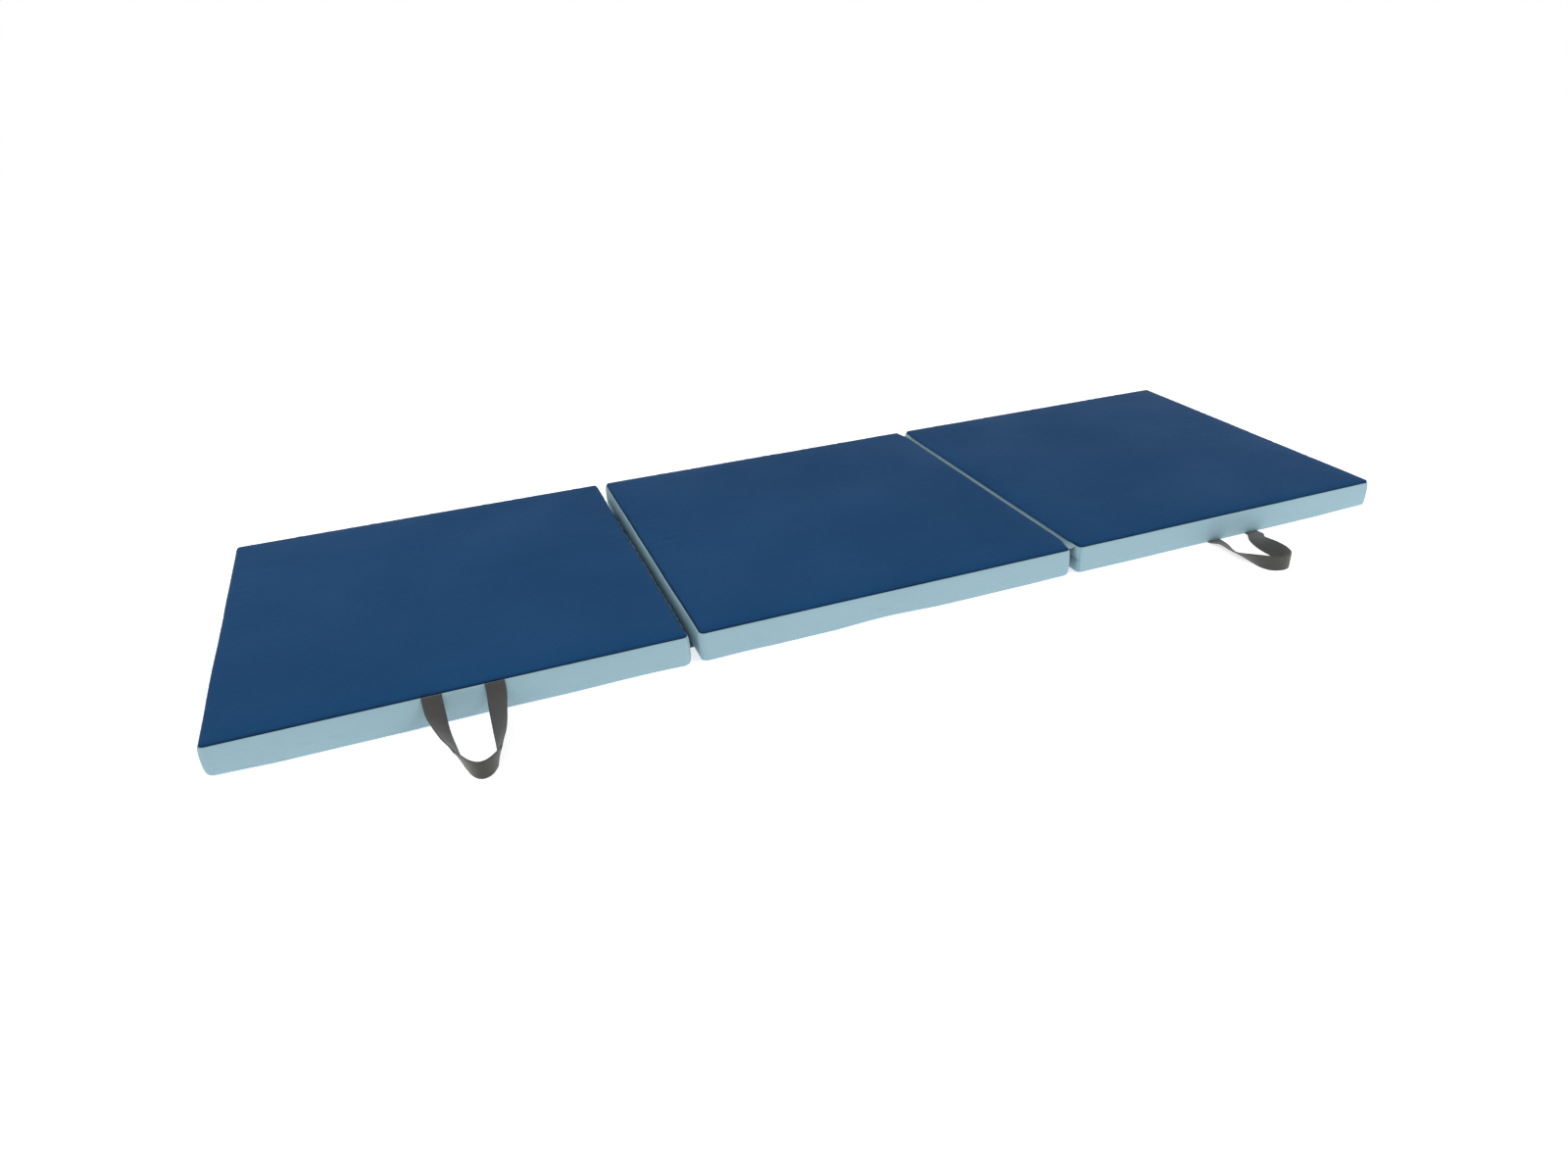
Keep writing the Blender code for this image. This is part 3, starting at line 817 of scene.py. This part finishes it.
def zip_slider(panel):
    """The slider: a waisted plate with softened edges, two lips and a raised bridge."""
    low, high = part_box(f"zip_slider_{panel}")
    side = ZIP_SIDES[panel]
    middle_y, middle_z = (low.y + high.y) / 2, (low.z + high.z) / 2
    inner, outer = (low.x, high.x) if side > 0 else (high.x, low.x)
    length, tall = high.y - low.y, high.z - low.z
    depth = abs(outer - inner)
    plate_in = inner + side * depth * 0.40
    plate_out = inner + side * depth * 0.72
    outline = []
    for k in range(28):
        turn = 2 * math.pi * k / 28
        along = math.copysign(abs(math.cos(turn)) ** 0.6, math.cos(turn)) * length / 2
        waist = 0.80 + 0.20 * (along / (length / 2))
        across = math.copysign(abs(math.sin(turn)) ** 0.6, math.sin(turn)) * tall / 2 * waist
        outline.append((along, across))
    levels = (
        (plate_in, 0.90), (plate_in + side * 0.0003, 1.0), (plate_out - side * 0.0004, 1.0),
        (plate_out, 0.86), (plate_out + side * 0.0001, 0.45),
    )
    points, faces = [], []
    for x, scale in levels:
        points += [(x, middle_y + a * scale, middle_z + c * scale) for a, c in outline]
    n = len(outline)
    faces += [tuple(range(n)), tuple((len(levels) - 1) * n + k for k in reversed(range(n)))]
    for r in range(len(levels) - 1):
        for k in range(n):
            j = (k + 1) % n
            faces.append((r * n + k, (r + 1) * n + k, (r + 1) * n + j, r * n + j))
    for sign in (1, -1):
        lip_z = middle_z + sign * 0.00205
        start, end = ((plate_in - side * 0.0004, middle_y + s * length * 0.36, lip_z) for s in (-1, 1))
        capsule(points, faces, start, end, 0.00030)
    rise, span = side * depth * 0.26, length * 0.62
    arch = [
        (plate_out + rise * math.sin(math.pi * t), middle_y + (t - 0.5) * span)
        for t in np.linspace(0, 1, 11)
    ]
    for (x0, y0), (x1, y1) in zip(arch, arch[1:]):
        capsule(points, faces, (x0, y0, middle_z), (x1, y1, middle_z), 0.0006)
    obj = new_object(f"zip_slider_body_{panel}", points, faces, looks["metal"])
    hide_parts(f"zip_slider_{panel}")
    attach(obj, f"slider_{panel}")


# ---------------------------------------------------------------- hinge strips


def hinge_strip(node, name, sag, reach):
    """The strip of cover fabric across the space between two panels, tucked under both seams."""
    low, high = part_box(node)
    columns, rows = 18, 60
    points, faces = [], []
    for r in range(rows + 1):
        y = low.y + (high.y - low.y) * r / rows
        for c in range(columns + 1):
            t = c / columns
            x = low.x - reach + (high.x - low.x + 2 * reach) * t
            ripple = 0.00025 * noise.noise(Vector((x * 40, y * 16, 2.7)))
            z = high.z - sag * math.sin(math.pi * t) + ripple * math.sin(math.pi * t)
            points.append((x, y, z))
    for r in range(rows):
        for c in range(columns):
            a = r * (columns + 1) + c
            faces.append((a, a + 1, a + columns + 2, a + columns + 1))
    obj = new_object(name, points, faces, looks["side"])
    if obj.data.polygons[0].normal.z < 0:
        obj.data.flip_normals()
    set_point_values(obj, "seam_shade", [0.0] * len(points))
    thicken(obj, STRIP_SHEET)
    obj.data.shade_smooth()
    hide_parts(node)
    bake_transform(obj)
    return obj


# ---------------------------------------------------------------- handles

HANDLE_SPREAD = 0.0765
# Offset along X from the handle's middle, distance out from the side face, height as a share of the hinge's
# height, and the turn of the width from +X towards +Z in degrees, as the frame's straps run.
TOP_ROUTE = (
    (-HANDLE_SPREAD / 2, 0.000, 1.00, 180), (-HANDLE_SPREAD / 2, 0.004, 0.77, 178),
    (-0.0370, 0.018, 0.55, 158),
    (-0.0335, 0.042, 0.41, 140), (-0.0280, 0.068, 0.34, 130), (-0.0220, 0.092, 0.30, 112),
    (-0.0155, 0.112, 0.00, 101), (-0.0080, 0.128, 0.00, 93), (0.0010, 0.1355, 0.00, 90),
    (0.0105, 0.133, 0.00, 89), (0.0190, 0.124, 0.00, 83), (0.0260, 0.107, 0.30, 71),
    (0.0305, 0.082, 0.34, 53), (0.0335, 0.052, 0.41, 36), (0.0360, 0.022, 0.55, 20),
    (HANDLE_SPREAD / 2, 0.004, 0.77, 2), (HANDLE_SPREAD / 2, 0.000, 1.00, 0),
)
BOTTOM_ROUTE = (
    (-HANDLE_SPREAD / 2, 0.000, 0.00, 180), (-HANDLE_SPREAD / 2, 0.006, 0.00, 178),
    (-0.0410, 0.020, 0.00, 162),
    (-0.0455, 0.038, 0.00, 150), (-0.0480, 0.060, 0.00, 149), (-0.0480, 0.082, 0.00, 134),
    (-0.0430, 0.104, 0.00, 108), (-0.0310, 0.120, 0.00, 92), (-0.0130, 0.1255, 0.00, 90),
    (0.0010, 0.120, 0.00, 90), (0.0070, 0.104, 0.00, 80), (0.0085, 0.084, 0.00, 64),
    (0.0130, 0.056, 0.00, 38), (0.0230, 0.028, 0.00, 12), (HANDLE_SPREAD / 2, 0.006, 0.00, 0),
    (HANDLE_SPREAD / 2, 0.000, 0.00, 0),
)


def smooth_route(route, steps):
    """Points evenly spread along a centripetal Catmull-Rom curve through the route's points."""
    route = np.array(route, float)
    guide = np.vstack([2 * route[0] - route[1], route, 2 * route[-1] - route[-2]])
    made = []
    for a, b, c, d in zip(guide[:-3], guide[1:-2], guide[2:-1], guide[3:]):
        spans = [max(np.linalg.norm((q - p)[:3]) ** 0.5, 1e-6) for p, q in ((a, b), (b, c), (c, d))]
        t1 = spans[0]
        t2 = t1 + spans[1]
        t3 = t2 + spans[2]
        for t in np.linspace(t1, t2, 12, endpoint=False):
            ab = a + (b - a) * t / t1
            bc = b + (c - b) * (t - t1) / (t2 - t1)
            cd = c + (d - c) * (t - t2) / (t3 - t2)
            abc = ab + (bc - ab) * t / t2
            bcd = bc + (cd - bc) * (t - t1) / (t3 - t1)
            made.append(abc + (bcd - abc) * (t - t1) / (t2 - t1))
    made.append(route[-1])
    made = np.array(made)
    travelled = np.concatenate([[0], np.cumsum(np.linalg.norm(np.diff(made[:, :3], axis=0), axis=1))])
    wanted = np.linspace(0, travelled[-1], steps + 1)
    return np.stack([np.interp(wanted, travelled, made[:, k]) for k in range(4)], axis=1)


def strap_section():
    """The webbing's outline as (across, through): a flat weave with rounded, slightly thicker selvedges."""
    half_width, half_thick = STRAP_WIDTH / 2, STRAP_THICKNESS / 2
    upper = []
    for k in range(SECTION_STEPS + 1):
        across = math.cos(math.pi * k / SECTION_STEPS)
        edge = abs(across)
        through = (1 - edge ** 14) ** 0.5 * (0.93 + 0.07 * smooth_bump(edge, 0.90, 0.12))
        upper.append((across * half_width, through * half_thick))
    return upper + [(w, -t) for w, t in reversed(upper[1:-1])]


def eased(values, reach=2):
    """A running mean that keeps both ends where they are."""
    kernel = np.ones(2 * reach + 1) / (2 * reach + 1)
    before = 2 * values[0] - values[reach:0:-1]
    after = 2 * values[-1] - values[-2:-reach - 2:-1]
    return np.convolve(np.concatenate([before, values, after]), kernel, "valid")


def webbing_handle(node, route, pivot, tuck_in, tuck_up):
    """A strap swept along the frame's route, its two ends bent in and up into the seam."""
    samples = smooth_route(np.array(route, float) * (1, 1, pivot.z, 1), STRAP_STEPS)
    samples = np.stack([*(eased(place) for place in samples.T[:3]), eased(samples[:, 3], 6)], axis=1)
    centres = np.array([pivot.x, pivot.y, 0]) + samples[:, :3] * (1, -1, 1)
    turns = np.radians(samples[:, 3])
    half_width, half_thick = STRAP_WIDTH / 2, STRAP_THICKNESS / 2
    for _ in range(3):
        tangents = np.gradient(centres, axis=0)
        tangents[0, 0] = tangents[-1, 0] = 0
        tangents /= np.linalg.norm(tangents, axis=1, keepdims=True)
        widths = np.stack([np.cos(turns), np.zeros_like(turns), np.sin(turns)], axis=1)
        widths -= tangents * (widths * tangents).sum(axis=1, keepdims=True)
        widths /= np.linalg.norm(widths, axis=1, keepdims=True)
        normals = np.cross(tangents, widths)
        reach_down = half_width * np.abs(widths[:, 2]) + half_thick * np.abs(normals[:, 2])
        centres[:, 2] = np.maximum(centres[:, 2], reach_down)
    centres[:, 2] = np.maximum(eased(centres[:, 2]), reach_down)
    run = np.concatenate([[0], np.cumsum(np.linalg.norm(np.diff(centres, axis=0), axis=1))])
    tucked = np.maximum(0, 1 - np.minimum(run, run[-1] - run) / TUCK_REACH) ** 2
    centres += tucked[:, None] * np.array([0, tuck_in, tuck_up])
    travelled = np.concatenate([[0], np.cumsum(np.linalg.norm(np.diff(centres, axis=0), axis=1))])
    section = strap_section()
    points, weave = [], []
    for k, (centre, width, normal) in enumerate(zip(centres, widths, normals)):
        for w, t in section:
            points.append(centre + width * w + normal * t)
            weave.append((travelled[k], w, 0))
    n = len(section)
    faces = [tuple(range(n)), tuple(STRAP_STEPS * n + k for k in reversed(range(n)))]
    for r in range(STRAP_STEPS):
        for k in range(n):
            j = (k + 1) % n
            faces.append((r * n + k, (r + 1) * n + k, (r + 1) * n + j, r * n + j))
    obj = new_object(f"webbing_{node}", points, faces, looks["webbing"])
    set_point_values(obj, "weave", weave, "FLOAT_VECTOR")
    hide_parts(node)
    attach(obj, node)
    print(f"{node}: strap {travelled[-1]:.3f} m between its two seams")


# ---------------------------------------------------------------- floor, light, camera


def floor():
    """A wide white studio floor, lit a little from within like a light table."""
    half, count = 9.0, 12
    steps = np.linspace(-half, half, count + 1)
    points = [(x, y, 0.0) for y in steps for x in steps]
    faces = []
    for r in range(count):
        for c in range(count):
            a = r * (count + 1) + c
            faces.append((a, a + 1, a + count + 2, a + count + 1))
    look = Look("pale_floor", 0.9, specular=0.1)
    fine = look.noise(look.place(), 3.0)
    look.base(look.colours(fine, (0.80, 0.80, 0.80), (0.82, 0.82, 0.82)).outputs["Result"])
    look.shader.inputs["Emission Color"].default_value = (1, 1, 1, 1)
    look.shader.inputs["Emission Strength"].default_value = FLOOR_GLOW
    obj = new_object("floor", points, faces, look.material)
    if obj.data.polygons[0].normal.z < 0:
        obj.data.flip_normals()


def area_light(name, place, target, size, power):
    data = bpy.data.lights.new(name, "AREA")
    data.shape = "RECTANGLE"
    data.size, data.size_y = size
    data.energy = power
    obj = bpy.data.objects.new(name, data)
    bpy.context.scene.collection.objects.link(obj)
    obj.location = place
    obj.rotation_euler = (Vector(target) - Vector(place)).to_track_quat("-Z", "Y").to_euler()


def lights():
    world = bpy.data.worlds.new("studio")
    world.use_nodes = True
    tree = world.node_tree
    direction = tree.nodes.new("ShaderNodeTexCoord")
    split = tree.nodes.new("ShaderNodeSeparateXYZ")
    fade = tree.nodes.new("ShaderNodeMapRange")
    fade_values = {"From Min": 0.12, "From Max": 0.5, "To Min": HORIZON_LIGHT, "To Max": ZENITH_LIGHT}
    for key, value in fade_values.items():
        fade.inputs[key].default_value = value
    tree.links.new(direction.outputs["Generated"], split.inputs[0])
    tree.links.new(split.outputs[2], fade.inputs["Value"])
    tree.links.new(fade.outputs["Result"], tree.nodes["Background"].inputs["Strength"])
    tree.nodes["Background"].inputs["Color"].default_value = (1, 1, 1, 1)
    bpy.context.scene.world = world
    area_light("key", (2.5, -2.1, 1.9), (0.4, 0, 0), (2.0, 1.6), KEY_POWER)
    area_light("fill", (-2.3, -0.1, 2.9), (-0.2, 0, 0), (1.8, 1.8), FILL_POWER)
    bpy.context.scene.view_settings.view_transform = "Standard"


def camera():
    data = bpy.data.cameras.new("camera")
    data.lens, data.sensor_width, data.shift_x = LENS, SENSOR, SHIFT_X
    obj = bpy.data.objects.new("camera", data)
    obj.location, obj.rotation_euler = CAMERA_AT, CAMERA_TURN
    bpy.context.scene.collection.objects.link(obj)
    bpy.context.scene.camera = obj


def joint_place(name):
    return Vector(next(j["pos_m"] for j in frame["joints"] if j["name"] == name))


camera()
lights()
floor()
covers = build_covers()
for number in PANELS:
    zip_line(number)
    zip_stitches(covers[number])
    zip_slider(number)
hinge_strip("hinge_strip_bottom", "hinge_fabric_bottom", 0.0, STRIP_TUCK)
hinge_strip("hinge_strip_top", "hinge_fabric_top", TOP_STRIP_SAG, STRIP_TUCK)
webbing_handle("handle_1", TOP_ROUTE, joint_place("handle_1_swing"), 0.0016, 0.0014)
webbing_handle("handle_3", BOTTOM_ROUTE, joint_place("handle_3_swing"), 0.0036, 0.0)
